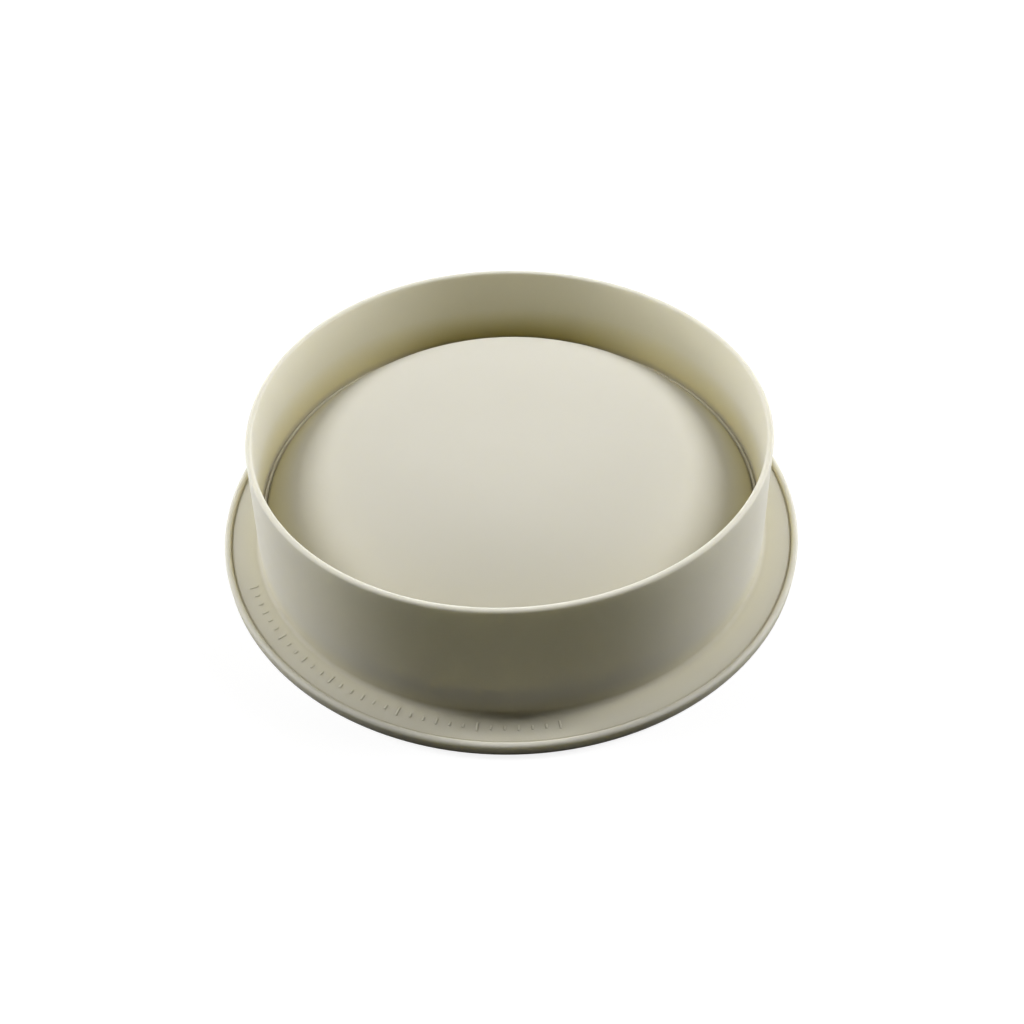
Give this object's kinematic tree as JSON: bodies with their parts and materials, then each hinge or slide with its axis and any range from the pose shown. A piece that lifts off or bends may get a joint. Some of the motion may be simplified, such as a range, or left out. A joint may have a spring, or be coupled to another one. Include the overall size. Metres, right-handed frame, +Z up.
{
  "type": "silicone cake mould",
  "caption": "Round silicone cake mould, turned over: domed cavity in a conical wall, flat flange with a raised edge bead, and a support skirt round the dome.",
  "frame": {"origin": "on the table, in the middle of the cavity mouth, level with the flange's underside", "axes": "+Z up along the mould's axis of symmetry, from the cavity mouth to the dome; +X and +Y lie in the flange"},
  "size_m": [0.21, 0.21, 0.0485],
  "materials": {
    "silicone": "matt, slightly translucent greige silicone"
  },
  "bodies": {
    "shell": {"rim_bead": "silicone", "flange": "silicone", "cavity_wall": "silicone", "groove_floor": "silicone", "support_skirt": "silicone", "dome_shoulder": "silicone"},
    "crown": {"dome_crown": "silicone"}
  },
  "joints": [
    {"name": "dome_push", "type": "slide", "parent": "shell", "child": "crown", "axis": [0, 0, -1], "range_m": [0, 0.012], "stiffness_N_per_m": 1000, "springref_m": -0.001}
  ]
}
